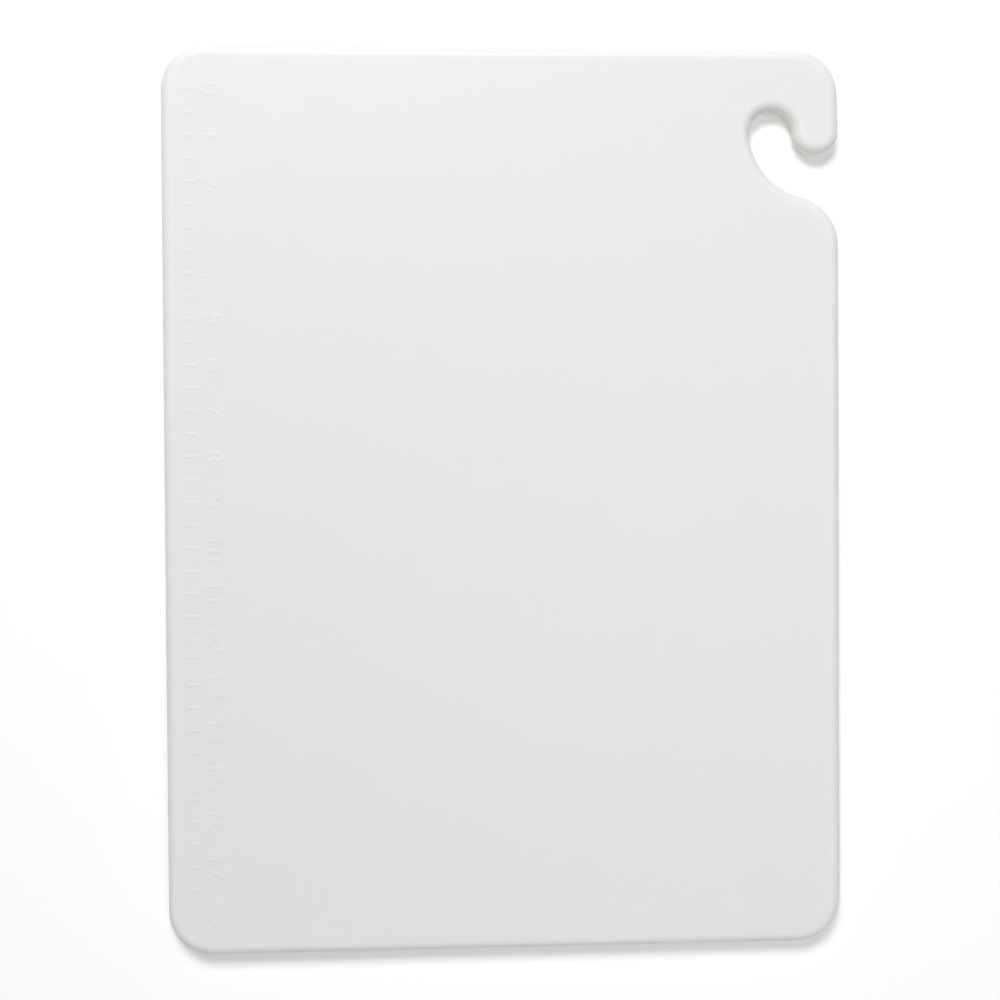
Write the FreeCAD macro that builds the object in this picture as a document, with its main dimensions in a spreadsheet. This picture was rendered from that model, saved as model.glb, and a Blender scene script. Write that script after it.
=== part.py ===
import FreeCAD, Part
import math
import os
import Sketcher
from FreeCAD import Placement, Rotation, Vector

# Moulded plastic cutting board, one piece, with a carrying and hanging hook cut into one corner
# and a raised inch ruler along the opposite long edge. Millimetres.
# The board lies flat: X across its width, Y along its length, Z up, the hook at +X +Y.
# The origin is the middle of the underside.

SIZES = (
    # Overall sizes: 15 x 20 x 1/2 inch
    ("board_width", 381.0),
    ("board_length", 508.0),
    ("board_thickness", 12.7),
    ("corner_radius", 25.4),
    # Flat ring left between the two rounds of the edge, where the mould halves meet
    ("parting_land", 0.3),
    # Hook: a round tip, a slot of one width that turns about the tip's centre, and a shoulder
    ("tip_radius", 13.3),
    ("tip_drop", 46.0),
    ("slot_width", 24.3),
    ("arch_drop", 1.1),
    ("side_lean", 0.5),
    ("shoulder_radius", 28.5),
    # Ruler: as many whole inches as fit, with a raised mark each half inch. The margin is the
    # least distance from the first and last marks to the ends of the board.
    ("ruler_unit", 25.4),
    ("marks_per_unit", 2),
    ("ruler_margin", 24.0),
    ("mark_length", 7.6),
    ("mark_width", 2.0),
    ("mark_height", 0.15),
    ("mark_inset", 11.9),
    ("mark_draft", 60.0),
)

# The ruler's length in whole units, and its sizes that follow
UNITS = "floor((sizes.board_length - 2 * sizes.ruler_margin) / sizes.ruler_unit)"
HALF_RULER = UNITS + " * sizes.ruler_unit / 2"
RULER_LENGTH = UNITS + " * sizes.ruler_unit"
MARK_COUNT = UNITS + " * sizes.marks_per_unit + 1"

START, END, CENTRE = 1, 2, 3
ORIGIN = -1


def make_sheet(doc):
    """Write the driving dimensions into a spreadsheet, one named cell each."""
    sheet = doc.addObject("Spreadsheet::Sheet", "sizes")
    for row, (name, value) in enumerate(SIZES, start=1):
        cell = "B" + str(row)
        sheet.set("A" + str(row), name)
        sheet.set(cell, str(value))
        sheet.setAlias(cell, name)
    doc.recompute()
    return sheet


def origin_plane(body, role):
    """The origin plane of a body that has this role."""
    for feature in body.Origin.OriginFeatures:
        if feature.Role == role:
            return feature
    raise RuntimeError("no origin plane " + role)


def new_sketch(body, name):
    """A sketch on the body's own XY plane."""
    sketch = body.newObject("Sketcher::SketchObject", name)
    sketch.AttachmentSupport = (origin_plane(body, "XY_Plane"), [""])
    sketch.MapMode = "FlatFace"
    return sketch


def line(start, end):
    """A straight edge between two points."""
    return Part.LineSegment(Vector(*start, 0), Vector(*end, 0))


def arc(centre, radius, first, last):
    """A counter-clockwise arc between two angles in degrees."""
    circle = Part.Circle(Vector(*centre, 0), Vector(0, 0, 1), radius)
    return Part.ArcOfCircle(circle, math.radians(first), math.radians(last))


def dimension(sketch, name, kind, places, value, formula):
    """Add one named dimension to a sketch and tie it to the sheet."""
    index = sketch.addConstraint(Sketcher.Constraint(kind, *places, value))
    sketch.renameConstraint(index, name)
    sketch.setExpression("Constraints." + name, formula)


def tangent_chain(sketch, joints):
    """Join edges end to end so that they run smoothly into each other."""
    for first, first_end, second, second_end in joints:
        sketch.addConstraint(Sketcher.Constraint("Tangent", first, first_end, second, second_end))


def draw_outline(body, sheet):
    """The board's outline: three plain corners, and the hook at the fourth."""
    half_width = sheet.board_width / 2
    half_length = sheet.board_length / 2
    corner = sheet.corner_radius
    tip = sheet.tip_radius
    arch = sheet.slot_width / 2
    throat = tip + sheet.slot_width
    shoulder = sheet.shoulder_radius

    # The tip touches the line of the right edge. The slot's inner wall is the tip itself,
    # and its outer wall, the throat, has the same centre.
    tip_centre = (half_width - tip, half_length - sheet.tip_drop)

    # The arch closes the slot with a half circle that is tangent to the tip and to the throat.
    arch_turn = math.degrees(math.asin(sheet.arch_drop / (tip + arch)))
    arch_reach = (tip + arch) * math.cos(math.radians(arch_turn))
    arch_centre = (tip_centre[0] - arch_reach, tip_centre[1] - sheet.arch_drop)

    # The shoulder rounds the slot's mouth: tangent to the right edge and to the throat.
    shoulder_x = half_width - shoulder
    shoulder_across = shoulder_x - tip_centre[0]
    shoulder_down = math.sqrt((throat + shoulder) ** 2 - shoulder_across ** 2)
    shoulder_centre = (shoulder_x, tip_centre[1] - shoulder_down)
    mouth_angle = math.degrees(math.atan2(shoulder_down, shoulder_across))

    # The hook's outer side leans in from the tip towards the top corner.
    top_centre = (half_width - sheet.side_lean - corner, half_length - corner)
    side_run = (tip_centre[0] - top_centre[0], tip_centre[1] - top_centre[1])
    side_angle = math.atan2(side_run[1], side_run[0])
    side_angle += math.acos((corner - tip) / math.hypot(*side_run))
    side_normal = (math.cos(side_angle), math.sin(side_angle))
    side_low = (tip_centre[0] + tip * side_normal[0], tip_centre[1] + tip * side_normal[1])
    side_high = (top_centre[0] + corner * side_normal[0], top_centre[1] + corner * side_normal[1])
    side_degrees = math.degrees(side_angle)

    left = -half_width + corner
    right = half_width - corner
    low = -half_length + corner
    high = half_length - corner
    edges = {
        "bottom": line((left, -half_length), (right, -half_length)),
        "bottom_right": arc((right, low), corner, -90, 0),
        "right": line((half_width, low), (half_width, shoulder_centre[1])),
        "shoulder": arc(shoulder_centre, shoulder, 0, 180 - mouth_angle),
        "throat": arc(tip_centre, throat, 180 + arch_turn, 360 - mouth_angle),
        "arch": arc(arch_centre, arch, arch_turn, 180 + arch_turn),
        "tip": arc(tip_centre, tip, 180 + arch_turn, 360 + side_degrees),
        "side": line(side_low, side_high),
        "top_right": arc(top_centre, corner, side_degrees, 90),
        "top": line((top_centre[0], half_length), (left, half_length)),
        "top_left": arc((left, high), corner, 90, 180),
        "left": line((-half_width, high), (-half_width, low)),
        "bottom_left": arc((left, low), corner, 180, 270),
    }
    sketch = new_sketch(body, "outline")
    edge = {name: sketch.addGeometry(shape, False) for name, shape in edges.items()}

    tangent_chain(sketch, (
        (edge["bottom"], END, edge["bottom_right"], START),
        (edge["bottom_right"], END, edge["right"], START),
        (edge["right"], END, edge["shoulder"], START),
        (edge["shoulder"], END, edge["throat"], END),
        (edge["throat"], START, edge["arch"], END),
        (edge["arch"], START, edge["tip"], START),
        (edge["tip"], END, edge["side"], START),
        (edge["side"], END, edge["top_right"], START),
        (edge["top_right"], END, edge["top"], START),
        (edge["top"], END, edge["top_left"], START),
        (edge["top_left"], END, edge["left"], START),
        (edge["left"], END, edge["bottom_left"], START),
        (edge["bottom_left"], END, edge["bottom"], START),
    ))
    for name in ("bottom", "top"):
        sketch.addConstraint(Sketcher.Constraint("Horizontal", edge[name]))
    for name in ("left", "right"):
        sketch.addConstraint(Sketcher.Constraint("Vertical", edge[name]))
    sketch.addConstraint(Sketcher.Constraint("Coincident", edge["throat"], CENTRE, edge["tip"], CENTRE))

    for name in ("bottom_right", "top_right", "top_left", "bottom_left"):
        dimension(sketch, name + "_radius", "Radius", (edge[name],), corner, "sizes.corner_radius")
    dimension(sketch, "tip_radius", "Radius", (edge["tip"],), tip, "sizes.tip_radius")
    dimension(sketch, "throat_radius", "Radius", (edge["throat"],), throat,
              "sizes.tip_radius + sizes.slot_width")
    dimension(sketch, "shoulder_radius", "Radius", (edge["shoulder"],), shoulder,
              "sizes.shoulder_radius")

    dimension(sketch, "left_reach", "DistanceX", (edge["left"], START, ORIGIN, START), half_width,
              "sizes.board_width / 2")
    dimension(sketch, "right_reach", "DistanceX", (ORIGIN, START, edge["right"], START), half_width,
              "sizes.board_width / 2")
    dimension(sketch, "bottom_reach", "DistanceY", (edge["bottom"], START, ORIGIN, START), half_length,
              "sizes.board_length / 2")
    dimension(sketch, "top_reach", "DistanceY", (ORIGIN, START, edge["top"], START), half_length,
              "sizes.board_length / 2")
    dimension(sketch, "tip_across", "DistanceX", (ORIGIN, START, edge["tip"], CENTRE), tip_centre[0],
              "sizes.board_width / 2 - sizes.tip_radius")
    dimension(sketch, "tip_along", "DistanceY", (ORIGIN, START, edge["tip"], CENTRE), tip_centre[1],
              "sizes.board_length / 2 - sizes.tip_drop")
    dimension(sketch, "arch_along", "DistanceY", (ORIGIN, START, edge["arch"], CENTRE), arch_centre[1],
              "sizes.board_length / 2 - sizes.tip_drop - sizes.arch_drop")
    dimension(sketch, "top_corner_across", "DistanceX", (ORIGIN, START, edge["top_right"], CENTRE),
              top_centre[0], "sizes.board_width / 2 - sizes.side_lean - sizes.corner_radius")
    return sketch


def draw_mark(body, sheet):
    """The first ruler mark, at zero: a thin bar with round ends on the upper face."""
    first = -sheet.board_width / 2 + sheet.mark_inset
    half = sheet.mark_width / 2
    last = first + sheet.mark_length
    units = math.floor((sheet.board_length - 2 * sheet.ruler_margin) / sheet.ruler_unit)
    along = units * sheet.ruler_unit / 2
    sketch = new_sketch(body, "first_mark")
    upper = sketch.addGeometry(line((last - half, along + half), (first + half, along + half)), False)
    near = sketch.addGeometry(arc((first + half, along), half, 90, 270), False)
    lower = sketch.addGeometry(line((first + half, along - half), (last - half, along - half)), False)
    far = sketch.addGeometry(arc((last - half, along), half, -90, 90), False)
    tangent_chain(sketch, (
        (upper, END, near, START),
        (near, END, lower, START),
        (lower, END, far, START),
        (far, END, upper, START),
    ))
    for straight in (upper, lower):
        sketch.addConstraint(Sketcher.Constraint("Horizontal", straight))
    dimension(sketch, "end_radius", "Radius", (near,), half, "sizes.mark_width / 2")
    dimension(sketch, "straight", "DistanceX", (near, CENTRE, far, CENTRE), last - first - 2 * half,
              "sizes.mark_length - sizes.mark_width")
    dimension(sketch, "across", "DistanceX", (near, CENTRE, ORIGIN, START), -first - half,
              "sizes.board_width / 2 - sizes.mark_inset - sizes.mark_width / 2")
    dimension(sketch, "along", "DistanceY", (ORIGIN, START, near, CENTRE), along, HALF_RULER)
    sketch.AttachmentOffset = Placement(Vector(0, 0, sheet.board_thickness), Rotation())
    sketch.setExpression("AttachmentOffset.Base.z", "sizes.board_thickness")
    return sketch


def rim_edges(shape, thickness):
    """Names of the edges that run round the upper face and round the underside."""
    names = []
    for number, edge in enumerate(shape.Edges, start=1):
        box = edge.BoundBox
        flat = box.ZLength < 1e-6
        if flat and min(abs(box.ZMin), abs(box.ZMin - thickness)) < 1e-6:
            names.append("Edge" + str(number))
    return names


def make_board(doc, sheet):
    """The whole board as one body: slab, full-round edge, then the ruler's marks."""
    body = doc.addObject("PartDesign::Body", "board")
    body.Label = "board"
    body.Placement = Placement(Vector(0, 0, 0), Rotation())

    slab = body.newObject("PartDesign::Pad", "slab")
    slab.Profile = draw_outline(body, sheet)
    slab.setExpression("Length", "sizes.board_thickness")
    doc.recompute()

    # One round on each side of the parting land makes the edge a full round,
    # and it follows the hook as well as the four sides.
    edge_round = body.newObject("PartDesign::Fillet", "edge_round")
    edge_round.Base = (slab, rim_edges(slab.Shape, sheet.board_thickness))
    edge_round.setExpression("Radius", "(sizes.board_thickness - sizes.parting_land) / 2")
    doc.recompute()

    mark = body.newObject("PartDesign::Pad", "mark")
    mark.Profile = draw_mark(body, sheet)
    mark.setExpression("Length", "sizes.mark_height")
    mark.setExpression("TaperAngle", "-sizes.mark_draft")
    doc.recompute()

    ruler = body.newObject("PartDesign::LinearPattern", "ruler")
    ruler.Originals = [mark]
    ruler.Direction = (mark.Profile[0], ["V_Axis"])
    ruler.Reversed = True
    ruler.setExpression("Length", RULER_LENGTH)
    ruler.setExpression("Occurrences", MARK_COUNT)
    body.Tip = ruler
    doc.recompute()
    return body


def check(doc):
    """Stop if any object failed to build."""
    for item in doc.Objects:
        if "Invalid" in item.State or "Error" in item.State:
            raise RuntimeError(item.Name + " failed: " + str(item.State))
        shape = getattr(item, "Shape", None)
        if shape is not None and item.isDerivedFrom("PartDesign::Feature"):
            if shape.isNull() or not shape.isValid():
                raise RuntimeError(item.Name + " has no valid shape")


document = FreeCAD.newDocument("cutting_board")
size_sheet = make_sheet(document)
board = make_board(document, size_sheet)
check(document)

os.makedirs("parts", exist_ok=True)
for piece in (board,):
    if piece.Shape.isNull() or not piece.Shape.isValid() or len(piece.Shape.Solids) != 1:
        raise RuntimeError(piece.Label + " is not one valid solid")
    piece.Shape.exportStep("parts/" + piece.Label + ".step")
    extent = piece.Shape.optimalBoundingBox(False, False)
    print(piece.Label, "faces", len(piece.Shape.Faces), "volume", round(piece.Shape.Volume, 1))
    print("  x", round(extent.XMin, 3), round(extent.XMax, 3), "y", round(extent.YMin, 3),
          round(extent.YMax, 3), "z", round(extent.ZMin, 3), round(extent.ZMax, 3))
for item in document.Objects:
    if item.isDerivedFrom("Sketcher::SketchObject"):
        print(item.Name, "fully constrained:", item.FullyConstrained)
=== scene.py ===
import math

import bpy
import numpy as np
from mathutils import Matrix, Vector
from mathutils.geometry import delaunay_2d_cdt


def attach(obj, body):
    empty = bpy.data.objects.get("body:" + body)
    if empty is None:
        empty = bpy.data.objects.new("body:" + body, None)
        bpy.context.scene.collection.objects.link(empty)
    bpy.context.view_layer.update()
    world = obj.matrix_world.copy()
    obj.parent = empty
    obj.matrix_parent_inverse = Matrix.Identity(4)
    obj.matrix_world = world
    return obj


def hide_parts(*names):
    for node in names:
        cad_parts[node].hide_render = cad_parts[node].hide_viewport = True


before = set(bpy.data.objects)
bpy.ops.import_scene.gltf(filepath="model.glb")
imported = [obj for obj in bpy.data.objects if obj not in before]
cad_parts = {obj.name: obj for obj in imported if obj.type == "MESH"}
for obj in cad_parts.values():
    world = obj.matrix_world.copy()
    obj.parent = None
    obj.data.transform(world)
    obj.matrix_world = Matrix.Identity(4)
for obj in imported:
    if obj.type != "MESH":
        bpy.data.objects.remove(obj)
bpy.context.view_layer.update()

# Everything that is drawn in the plane of the board is in millimetres until build_mesh.
MM = 0.001

# Board: the same sizes as the CAD
BOARD_WIDTH = 381.0
BOARD_LENGTH = 508.0
BOARD_THICKNESS = 12.7
CORNER_RADIUS = 25.4
PARTING_LAND = 0.3
TIP_RADIUS = 13.3
TIP_DROP = 46.0
SLOT_WIDTH = 24.3
ARCH_DROP = 1.1
SIDE_LEAN = 0.5
SHOULDER_RADIUS = 28.5
EDGE_RADIUS = (BOARD_THICKNESS - PARTING_LAND) / 2

# Fineness of the outline and of the round that runs along it
ARC_STEP = 2.0
STRAIGHT_STEP = 9.0
ROUND_STEPS = 16
FACE_GRID = 21.0
# Widths along the left edge that the grid leaves free: on the underside, and on the ruled face
PLAIN_STRIP = 12.0
RULER_STRIP = 44.0

# Ruler and numerals in relief
RULER_UNIT = 25.4
RULER_UNITS = 18
MARKS_PER_UNIT = 2
MARK_INSET = 11.8
MARK_LENGTH = 7.8
RELIEF_HEIGHT = 0.15
STROKE_RADIUS = 1.15
WALL_RUN = 0.6
WALL_LEVELS = 6
FIELD_PITCH = 0.08
LOOP_TOLERANCE = 0.004
SMALLEST_LOOP = 8
FIGURE_HEIGHT = 8.75
FIGURE_WIDTH = 4.95
FIGURE_PITCH = 8.0
FIGURE_BASELINE = -166.75
# The box that the figures are drawn in before they are brought to size
DRAWN_WIDTH = 5.2
DRAWN_HEIGHT = 9.3

# Plastic: the whites of the faces, a painted cool shade on the rims and a painted warm shade
# inside the hook. A rim is where the surface has turned away from the flat, and the hook's painted
# warm shade fades out round HOOK_MIDDLE.
WHITE_COOL = (0.834, 0.840, 0.838)
WHITE_WARM = (0.842, 0.841, 0.834)
RIM_COOL_SHADE = (0.818, 0.832, 0.870)
HOOK_WARM_SHADE = (0.845, 0.832, 0.765)
HOOK_MIDDLE = (0.163, 0.2085, 0.00635)
HOOK_FADE = (0.028, 0.018)
RIM_TURN = (1.0, 0.35)
HOOK_TURN = (1.0, 0.55)

# Studio: how strongly the floor glows near the board and far away, and the world's fill light
FLOOR_HALF = 4.0
FLOOR_DROP = 0.00005
FLOOR_WHITE = 0.98
FLOOR_GLOW = 0.15
FAR_GLOW = 0.95
GLOW_RANGE = (0.45, 1.7)
FILL = 0.09
LAMPS = (
    # name, azimuth, elevation, distance, width and height, watts
    ("key", -14.0, 50.0, 2.4, (1.2, 0.8), 43.0),
    ("top", 100.0, 75.0, 1.3, (0.6, 0.6), 2.4),
    ("left", 265.0, 25.0, 1.3, (0.6, 0.6), 0.6),
    ("front", 175.0, 28.0, 1.3, (0.6, 0.6), 2.9),
    ("right", 80.0, 40.0, 1.3, (0.6, 0.6), 1.5),
)


def arc_points(centre, radius, first, last, outward):
    """Points and outward normals along an arc, without its last point."""
    count = max(2, math.ceil(abs(last - first) / ARC_STEP))
    angles = np.radians(np.linspace(first, last, count, endpoint=False))
    spoke = np.c_[np.cos(angles), np.sin(angles)]
    return np.array(centre) + radius * spoke, outward * spoke


def line_points(start, end):
    """Points and outward normals along a straight edge, without its last point."""
    start, end = np.array(start, float), np.array(end, float)
    run = np.hypot(*(end - start))
    count = max(2, math.ceil(run / STRAIGHT_STEP))
    share = np.linspace(0, 1, count, endpoint=False)[:, None]
    way = (end - start) / run
    return start + share * (end - start), np.tile((way[1], -way[0]), (count, 1))


def board_outline():
    """The board's outline counter-clockwise, as points and outward normals."""
    half_width, half_length = BOARD_WIDTH / 2, BOARD_LENGTH / 2
    arch_radius = SLOT_WIDTH / 2
    throat_radius = TIP_RADIUS + SLOT_WIDTH
    tip = (half_width - TIP_RADIUS, half_length - TIP_DROP)

    turn = math.degrees(math.asin(ARCH_DROP / (TIP_RADIUS + arch_radius)))
    reach = (TIP_RADIUS + arch_radius) * math.cos(math.radians(turn))
    arch = (tip[0] - reach, tip[1] - ARCH_DROP)

    shoulder_x = half_width - SHOULDER_RADIUS
    across = shoulder_x - tip[0]
    down = math.sqrt((throat_radius + SHOULDER_RADIUS) ** 2 - across ** 2)
    shoulder = (shoulder_x, tip[1] - down)
    mouth = math.degrees(math.atan2(down, across))

    top = (half_width - SIDE_LEAN - CORNER_RADIUS, half_length - CORNER_RADIUS)
    run = (tip[0] - top[0], tip[1] - top[1])
    lean = math.atan2(run[1], run[0]) + math.acos((CORNER_RADIUS - TIP_RADIUS) / math.hypot(*run))
    normal = (math.cos(lean), math.sin(lean))
    side_low = (tip[0] + TIP_RADIUS * normal[0], tip[1] + TIP_RADIUS * normal[1])
    side_high = (top[0] + CORNER_RADIUS * normal[0], top[1] + CORNER_RADIUS * normal[1])
    lean = math.degrees(lean)

    left, right = CORNER_RADIUS - half_width, half_width - CORNER_RADIUS
    low, high = CORNER_RADIUS - half_length, half_length - CORNER_RADIUS
    parts = (
        line_points((left, -half_length), (right, -half_length)),
        arc_points((right, low), CORNER_RADIUS, -90, 0, 1),
        line_points((half_width, low), (half_width, shoulder[1])),
        arc_points(shoulder, SHOULDER_RADIUS, 0, 180 - mouth, 1),
        arc_points(tip, throat_radius, 360 - mouth, 180 + turn, -1),
        arc_points(arch, arch_radius, 180 + turn, turn, -1),
        arc_points(tip, TIP_RADIUS, 180 + turn, 360 + lean, 1),
        line_points(side_low, side_high),
        arc_points(top, CORNER_RADIUS, lean, 90, 1),
        line_points((top[0], half_length), (left, half_length)),
        arc_points((left, high), CORNER_RADIUS, 90, 180, 1),
        line_points((-half_width, high), (-half_width, low)),
        arc_points((left, low), CORNER_RADIUS, 180, 270, 1),
    )
    return np.vstack([p for p, _ in parts]), np.vstack([n for _, n in parts])


def edge_rings(points, normals):
    """Rings of the full round, from the underside up to the face, and the normals of each."""
    quarter = np.linspace(0, math.pi / 2, ROUND_STEPS + 1)
    middle = EDGE_RADIUS
    sections = [(-a, middle) for a in quarter[::-1]]
    sections += [(a, middle + PARTING_LAND) for a in quarter]
    rings, ring_normals = [], []
    for angle, height in sections:
        inset = EDGE_RADIUS * (1 - math.cos(angle))
        z = height + EDGE_RADIUS * math.sin(angle)
        rings.append(np.c_[points - inset * normals, np.full(len(points), z)])
        ring_normals.append(np.c_[normals * math.cos(angle),
                                  np.full(len(points), math.sin(angle))])
    return rings, ring_normals


def curve(centre, radii, first, last):
    """Points on an elliptical arc of a figure's centreline."""
    angles = np.radians(np.linspace(first, last, max(3, int(abs(last - first) / 6))))
    return np.c_[centre[0] + radii[0] * np.cos(angles), centre[1] + radii[1] * np.sin(angles)]


def bend(*controls):
    """Points on a cubic Bezier curve of a figure's centreline."""
    share = np.linspace(0, 1, 16)[:, None]
    a, b, c, d = np.array(controls, float)
    rest = 1 - share
    return (rest ** 3 * a + 3 * rest ** 2 * share * b + 3 * rest * share ** 2 * c
            + share ** 3 * d)


def figure_strokes():
    """Centrelines of the ten figures, upright, with the lower left corner at zero."""
    w, h = DRAWN_WIDTH, DRAWN_HEIGHT
    r = w / 2
    six = [
        curve((r, 2.75), (r, 2.75), 0, 360),
        np.vstack([[(0, 2.75)], curve((r, 4.65), (r, h - 4.65), 180, 48)]),
    ]
    drawn = {
        "0": [np.vstack([curve((r, h - r), (r, r), 0, 180), curve((r, r), (r, r), 180, 360),
                         [(w, h - r)]])],
        "1": [np.array([(r, 0), (r, h), (r - 1.9, h - 1.9)])],
        "2": [np.vstack([curve((r, h - r), (r, r), 168, -28),
                         bend((4.9, 5.48), (4.2, 4.2), (1.2, 2.2), (0, 0)), [(w, 0)]])],
        "3": [np.vstack([curve((2.5, 7.12), (2.3, 2.18), 152, -90), [(1.7, 4.94)]]),
              curve((r, 2.47), (r, 2.47), 90, -152)],
        "4": [np.array([(3.9, 0), (3.9, h), (0, 2.75), (w, 2.75)])],
        "5": [np.vstack([[(4.8, h), (0.9, h), (0.45, 4.95)],
                         curve((2.55, 3.0), (2.65, 3.0), 138, -148)])],
        "6": six,
        "7": [np.vstack([[(0, h)], bend((w, h), (3.6, 6.4), (2.2, 3.6), (1.7, 0))])],
        "8": [curve((r, 7.05), (2.2, 2.25), 0, 360), curve((r, 2.4), (r, 2.4), 0, 360)],
        "9": [np.array((w, h)) - s for s in six],
    }
    size = np.array((FIGURE_WIDTH / w, FIGURE_HEIGHT / h))
    return {name: [stroke * size for stroke in strokes] for name, strokes in drawn.items()}


def distance_field(strokes, pitch):
    """Distance to the nearest stroke on a square grid, with the grid's lower left corner."""
    margin = STROKE_RADIUS + 3 * pitch
    low = np.min([s.min(0) for s in strokes], 0) - margin
    high = np.max([s.max(0) for s in strokes], 0) + margin
    across, along = (np.ceil((high - low) / pitch).astype(int) + 1)
    x = low[0] + pitch * np.arange(across)
    y = low[1] + pitch * np.arange(along)
    spots = np.stack(np.meshgrid(x, y, indexing="ij"), -1)
    field = np.full((across, along), 1e9)
    for stroke in strokes:
        for a, b in zip(stroke[:-1], stroke[1:]):
            way = b - a
            length = way @ way
            if length < 1e-12:
                continue
            share = np.clip((spots - a) @ way / length, 0, 1)
            gap = spots - a - share[..., None] * way
            field = np.minimum(field, np.hypot(gap[..., 0], gap[..., 1]))
    return field, low


def level_loops(field, low, pitch, level):
    """Closed lines along which the field has this level, by marching squares."""
    inside = field < level
    following = {}

    def crossing(i, j, k, m):
        """Key and place of the level between two neighbouring grid points."""
        share = (level - field[i, j]) / (field[k, m] - field[i, j])
        place = low + pitch * np.array((i + share * (k - i), j + share * (m - j)))
        return (min(i, k), min(j, m), i == k), place

    mixed = np.argwhere(
        (inside[:-1, :-1] | inside[1:, :-1] | inside[:-1, 1:] | inside[1:, 1:])
        & ~(inside[:-1, :-1] & inside[1:, :-1] & inside[:-1, 1:] & inside[1:, 1:])
    )
    for i, j in mixed:
        corners = ((i, j), (i + 1, j), (i + 1, j + 1), (i, j + 1))
        leaves, enters = [], []
        for side in range(4):
            a, b = corners[side], corners[(side + 1) % 4]
            if inside[a] and not inside[b]:
                leaves.append(crossing(*a, *b))
            elif inside[b] and not inside[a]:
                enters.append(crossing(*a, *b))
        for start, end in zip(leaves, enters):
            following[start[0]] = (start[1], end[0])
    loops = []
    while following:
        key = next(iter(following))
        loop = []
        while key in following:
            place, key = following.pop(key)
            loop.append(place)
        loops.append(np.array(loop))
    return loops


def thinned(loop, tolerance):
    """The closed loop with the points left out that lie on the line between their neighbours."""
    far = int(np.hypot(*(loop - loop[0]).T).argmax())
    keep = {0, far}
    spans = [(0, far), (far, len(loop))]
    ring = np.vstack([loop, loop[:1]])
    while spans:
        a, b = spans.pop()
        if b - a < 2:
            continue
        way = ring[b] - ring[a]
        between = ring[a + 1:b] - ring[a]
        off = np.abs(between[:, 0] * way[1] - between[:, 1] * way[0]) / max(np.hypot(*way), 1e-9)
        worst = int(off.argmax())
        if off[worst] > tolerance:
            middle = a + 1 + worst
            keep.add(middle)
            spans += [(a, middle), (middle, b)]
    return loop[sorted(keep)]


def relief(strokes):
    """Level lines of one raised shape: (loop, height, slope, direction up the slope) each."""
    field, low = distance_field(strokes, FIELD_PITCH)
    rise_x, rise_y = np.gradient(-field, FIELD_PITCH)
    found = []
    for step in range(WALL_LEVELS):
        share = step / (WALL_LEVELS - 1)
        height = RELIEF_HEIGHT * share * share * (3 - 2 * share)
        slope = RELIEF_HEIGHT / WALL_RUN * 6 * share * (1 - share)
        level = STROKE_RADIUS - WALL_RUN * share
        for loop in level_loops(field, low, FIELD_PITCH, level):
            if len(loop) < SMALLEST_LOOP:
                continue
            loop = thinned(loop, LOOP_TOLERANCE)
            cell = np.round((loop - low) / FIELD_PITCH).astype(int)
            rise = np.c_[rise_x[cell[:, 0], cell[:, 1]], rise_y[cell[:, 0], cell[:, 1]]]
            rise /= np.maximum(np.hypot(*rise.T), 1e-6)[:, None]
            found.append((loop, height, slope, rise))
    return found


def placed(shape, origin, quarter_turned):
    """A raised shape moved to its place; turned, it reads downwards with its top towards +X."""
    turn = np.array([[0, -1], [1, 0]]) if quarter_turned else np.eye(2)
    return [(loop @ turn + origin, height, slope, rise @ turn)
            for loop, height, slope, rise in shape]


def ruler_relief():
    """Every raised mark and figure in its place on the face."""
    marks = RULER_UNITS * MARKS_PER_UNIT + 1
    first = RULER_UNITS * RULER_UNIT / 2
    mark_start = -BOARD_WIDTH / 2 + MARK_INSET + STROKE_RADIUS
    mark = relief([np.array([(0.0, 0.0), (MARK_LENGTH - 2 * STROKE_RADIUS, 0.0)])])
    figures = {name: relief(strokes) for name, strokes in figure_strokes().items()}
    shapes = []
    for index in range(marks):
        y = first - index * RULER_UNIT / MARKS_PER_UNIT
        shapes += placed(mark, (mark_start, y), False)
    for value in range(RULER_UNITS + 1):
        text = str(value)
        y = first - value * RULER_UNIT
        start = y + (FIGURE_WIDTH + FIGURE_PITCH * (len(text) - 1)) / 2
        for place, figure in enumerate(text):
            origin = (FIGURE_BASELINE, start - place * FIGURE_PITCH)
            shapes += placed(figures[figure], origin, True)
    return shapes


def face_points(outline, clear_left):
    """Evenly spaced points inside a flat face, clear of its outline and of the ruler's strip."""
    across = np.arange(-BOARD_WIDTH / 2 + clear_left, BOARD_WIDTH / 2, FACE_GRID)
    along = np.arange(-BOARD_LENGTH / 2 + 1.5 * EDGE_RADIUS, BOARD_LENGTH / 2, FACE_GRID)
    spots = np.array([(x, y) for x in across for y in along])
    ax, ay = outline.T
    bx, by = np.roll(outline, -1, 0).T
    inside = np.zeros(len(spots), bool)
    for k, (x, y) in enumerate(spots):
        crosses = (ay > y) != (by > y)
        at = ax[crosses] + (y - ay[crosses]) / (by - ay)[crosses] * (bx - ax)[crosses]
        inside[k] = (at > x).sum() % 2 == 1
        inside[k] &= np.hypot(ax - x, ay - y).min() > FACE_GRID / 3
    return spots[inside]


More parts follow.
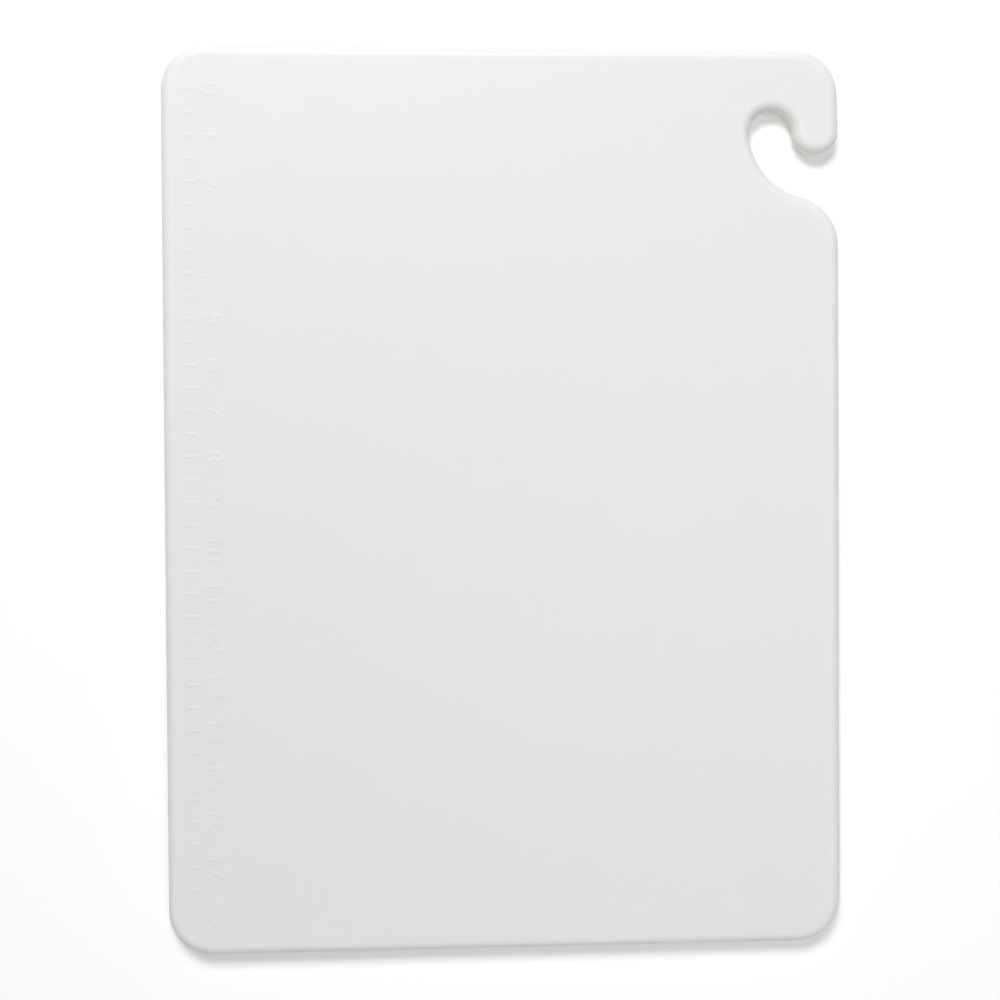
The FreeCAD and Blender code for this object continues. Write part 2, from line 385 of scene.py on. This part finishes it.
def triangulated(outline, first_index, shapes, extra, z, up):
    """Triangles over a flat face with its raised shapes. Gives new vertices, normals and faces."""
    spots = [*map(tuple, outline)]
    index = list(range(first_index, first_index + len(outline)))
    edges = [(k, (k + 1) % len(outline)) for k in range(len(outline))]
    heights = [z] * len(outline)
    normals = [(0.0, 0.0, up)] * len(outline)
    for loop, height, slope, rise in shapes:
        start = len(spots)
        spots += [*map(tuple, loop)]
        edges += [(start + k, start + (k + 1) % len(loop)) for k in range(len(loop))]
        heights += [z + height] * len(loop)
        steep = math.hypot(1.0, slope)
        normals += [(-slope * a / steep, -slope * b / steep, up / steep) for a, b in rise]
    spots += [*map(tuple, extra)]
    heights += [z] * len(extra)
    normals += [(0.0, 0.0, up)] * len(extra)

    made = delaunay_2d_cdt([Vector(s) for s in spots], edges, [], 1, 1e-6)
    places, _, triangles, sources = made[:4]
    if len(places) != len(spots) or any(len(s) != 1 for s in sources):
        raise RuntimeError("raised shapes touch each other or the outline")
    return places, triangles, [s[0] for s in sources], heights, normals


def build_mesh():
    """The whole moulding as one closed mesh."""
    points, normals = board_outline()
    rings, ring_normals = edge_rings(points, normals)
    count = len(points)
    vertices = [tuple(v) for ring in rings for v in ring]
    vertex_normals = [tuple(n) for ring in ring_normals for n in ring]
    faces = []
    for ring in range(len(rings) - 1):
        for k in range(count):
            after = (k + 1) % count
            low, high = ring * count, (ring + 1) * count
            faces.append((low + k, low + after, high + after, high + k))

    for up, ring, shapes, clear in ((-1, 0, [], PLAIN_STRIP),
                                    (1, len(rings) - 1, ruler_relief(), RULER_STRIP)):
        outline = rings[ring][:, :2]
        z = rings[ring][0, 2]
        extra = face_points(outline, clear)
        places, triangles, sources, heights, flat_normals = triangulated(
            outline, ring * count, shapes, extra, z, up)
        number = {}
        for made, source in enumerate(sources):
            if source < count:
                number[made] = ring * count + source
            else:
                number[made] = len(vertices)
                vertices.append((places[made][0], places[made][1], heights[source]))
                vertex_normals.append(flat_normals[source])
        for triangle in triangles:
            corners = [number[v] for v in triangle]
            faces.append(tuple(corners if up > 0 else corners[::-1]))

    mesh = bpy.data.meshes.new("cutting_board")
    mesh.from_pydata((np.array(vertices) * MM).tolist(), [], faces)
    mesh.validate()
    mesh.polygons.foreach_set("use_smooth", [True] * len(mesh.polygons))
    mesh.normals_split_custom_set_from_vertices(vertex_normals)
    mesh.update()
    return mesh


def new_node(tree, kind, settings=(), values=(), links=()):
    """A shader node with its settings, its input values and the links into its inputs."""
    made = tree.nodes.new("ShaderNode" + kind)
    for name, value in dict(settings).items():
        setattr(made, name, value)
    for name, value in dict(values).items():
        made.inputs[name].default_value = value
    for name, source in dict(links).items():
        tree.links.new(source, made.inputs[name])
    return made


def plastic():
    """White polyethylene: fine matte grain, with a painted cool shade on the rims and a painted
    warm shade inside the hook.
    """
    material = bpy.data.materials.new("white_polyethylene")
    material.use_nodes = True
    tree = material.node_tree
    tree.nodes.clear()
    place = new_node(tree, "TexCoord").outputs

    def noise(scale, detail, roughness):
        """Even noise over the board, scale in features per metre."""
        return new_node(tree, "TexNoise", (),
                        {"Scale": scale, "Detail": detail, "Roughness": roughness},
                        {"Vector": place["Object"]}).outputs["Fac"]

    def ranged(value, start, end, low, high):
        """A value brought from one range to another, smoothly and without leaving it."""
        return new_node(tree, "MapRange", {"interpolation_type": "SMOOTHSTEP"},
                        {"From Min": start, "From Max": end, "To Min": low, "To Max": high},
                        {"Value": value}).outputs["Result"]

    def product(one, other):
        """Two values multiplied."""
        return new_node(tree, "Math", {"operation": "MULTIPLY"}, (),
                        {0: one, 1: other}).outputs[0]

    def mixed(share, first, second):
        """A colour between two, each given plainly or by a socket."""
        mix = new_node(tree, "Mix", {"data_type": "RGBA"}, (), {0: share})
        for number, colour in ((6, first), (7, second)):
            if isinstance(colour, tuple):
                mix.inputs[number].default_value = (*colour, 1.0)
            else:
                tree.links.new(colour, mix.inputs[number])
        return mix.outputs[2]

    # How far the surface has turned away from the flat faces, 0 there and 1 at the edge's middle.
    # This sets where the painted cool shade of the rims goes, and with the hook's nearness, the
    # painted warm shade.
    normal = new_node(tree, "SeparateXYZ", (), (), {0: place["Normal"]}).outputs["Z"]
    level = new_node(tree, "Math", {"operation": "ABSOLUTE"}, (), {0: normal}).outputs[0]
    rim = ranged(level, *RIM_TURN, 0.0, 1.0)

    # How near the inside of the hook is: there the turned surfaces get a painted warm shade
    offset = new_node(tree, "VectorMath", {"operation": "SUBTRACT"}, {1: HOOK_MIDDLE},
                      {0: place["Object"]}).outputs[0]
    reach = new_node(tree, "VectorMath", {"operation": "LENGTH"}, (), {0: offset}).outputs["Value"]
    hook = product(ranged(reach, *HOOK_FADE, 0.0, 1.0), ranged(level, *HOOK_TURN, 0.0, 1.0))

    colour = mixed(ranged(noise(5.0, 2.0, 0.5), 0.35, 0.65, 0.0, 1.0), WHITE_COOL, WHITE_WARM)
    # Painted shade: the rims, turned away from the flat, get a cooler and bluer white
    colour = mixed(rim, colour, RIM_COOL_SHADE)
    # Painted shade: the turned surfaces inside the hook get a warm, yellowish white
    colour = mixed(hook, colour, HOOK_WARM_SHADE)
    roughness = ranged(noise(60.0, 4.0, 0.6), 0.3, 0.7, 0.44, 0.54)
    grain = new_node(tree, "Bump", (), {"Strength": 0.5, "Distance": 0.00004},
                     {"Height": noise(1500.0, 2.0, 0.5)})
    shader = new_node(tree, "BsdfPrincipled", (), {
        "IOR": 1.5,
        "Subsurface Weight": 1.0,
        "Subsurface Radius": (1.0, 0.98, 0.92),
        "Subsurface Scale": 0.005,
    }, {"Base Color": colour, "Roughness": roughness, "Normal": grain.outputs["Normal"]})
    new_node(tree, "OutputMaterial", (), (), {"Surface": shader.outputs["BSDF"]})
    return material


board = bpy.data.objects.new("cutting_board", build_mesh())
bpy.context.scene.collection.objects.link(board)
board.data.materials.append(plastic())
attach(board, "root")
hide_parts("board")


def seen_directly(tree):
    """1 for what the camera sees directly, in a reflection or through glass, and 0 for light."""
    path = new_node(tree, "LightPath").outputs
    either = new_node(tree, "Math", {"operation": "MAXIMUM"}, (),
                      {0: path["Is Camera Ray"], 1: path["Is Glossy Ray"]}).outputs[0]
    return new_node(tree, "Math", {"operation": "MAXIMUM"}, (),
                    {0: either, 1: path["Is Transmission Ray"]}).outputs[0]


def make_floor():
    """A large pale floor just under the board that looks white where the light reaches it.

    It glows a little to what sees it directly, and more with distance, where the lamps fade.
    """
    mesh = bpy.data.meshes.new("floor")
    corners = ((-1, -1), (1, -1), (1, 1), (-1, 1))
    mesh.from_pydata([(x * FLOOR_HALF, y * FLOOR_HALF, -FLOOR_DROP) for x, y in corners],
                     [], [(0, 1, 2, 3)])
    floor = bpy.data.objects.new("floor", mesh)
    bpy.context.scene.collection.objects.link(floor)
    material = bpy.data.materials.new("floor_white")
    material.use_nodes = True
    tree = material.node_tree
    tree.nodes.clear()
    place = new_node(tree, "TexCoord").outputs["Object"]
    away = new_node(tree, "VectorMath", {"operation": "LENGTH"}, (), {0: place}).outputs["Value"]
    share = new_node(tree, "MapRange", {"interpolation_type": "SMOOTHSTEP"},
                     {"From Min": GLOW_RANGE[0], "From Max": GLOW_RANGE[1],
                      "To Min": FLOOR_GLOW, "To Max": FAR_GLOW},
                     {"Value": away}).outputs["Result"]
    strength = new_node(tree, "Math", {"operation": "MULTIPLY"}, (),
                        {0: seen_directly(tree), 1: share}).outputs[0]
    diffuse = new_node(tree, "BsdfDiffuse", (), {"Color": (*[FLOOR_WHITE] * 3, 1)})
    glow = new_node(tree, "Emission", (), (), {"Strength": strength})
    both = new_node(tree, "AddShader", (), (), {0: diffuse.outputs[0], 1: glow.outputs[0]})
    new_node(tree, "OutputMaterial", (), (), {"Surface": both.outputs[0]})
    mesh.materials.append(material)
    return floor


def make_world():
    """Even fill light all round, and plain white where the world itself is seen."""
    world = bpy.data.worlds.new("studio")
    world.use_nodes = True
    tree = world.node_tree
    tree.nodes.clear()
    light = new_node(tree, "Background", (), {"Color": (1, 1, 1, 1), "Strength": FILL})
    white = new_node(tree, "Background", (), {"Color": (1, 1, 1, 1), "Strength": 1.0})
    mix = new_node(tree, "MixShader", (), (),
                   {0: seen_directly(tree), 1: light.outputs[0], 2: white.outputs[0]})
    new_node(tree, "OutputWorld", (), (), {"Surface": mix.outputs[0]})
    bpy.context.scene.world = world


def soft_light(name, azimuth, elevation, distance, size, power):
    """A rectangular area lamp aimed at the board, with its azimuth from +Y towards +X."""
    lamp = bpy.data.lights.new(name, "AREA")
    lamp.shape = "RECTANGLE"
    lamp.size, lamp.size_y = size
    lamp.energy = power
    obj = bpy.data.objects.new(name, lamp)
    around, above = math.radians(azimuth), math.radians(elevation)
    direction = Vector((math.sin(around) * math.cos(above), math.cos(around) * math.cos(above),
                        math.sin(above)))
    obj.location = distance * direction
    obj.rotation_mode = "QUATERNION"
    obj.rotation_quaternion = (-direction).to_track_quat("-Z", "Y")
    bpy.context.scene.collection.objects.link(obj)


floor = make_floor()
make_world()
for lamp in LAMPS:
    soft_light(*lamp)


def make_camera():
    """The camera at the photograph's place, found from the board's edges and marks."""
    forward = Vector((0.0557, -0.0177, -0.9983)).normalized()
    right = forward.cross(Vector((0.0076, 0.9998, -0.0173))).normalized()
    up = right.cross(forward)
    data = bpy.data.cameras.new("camera")
    data.sensor_width = 36.0
    data.lens = 55.25
    data.clip_start, data.clip_end = 0.01, 50.0
    camera = bpy.data.objects.new("camera", data)
    turn = Matrix((right, up, -forward)).transposed().to_4x4()
    camera.matrix_world = Matrix.Translation((-0.0515, 0.0153, 0.8721)) @ turn
    bpy.context.scene.collection.objects.link(camera)
    bpy.context.scene.camera = camera


make_camera()
bpy.context.scene.view_settings.view_transform = "Standard"
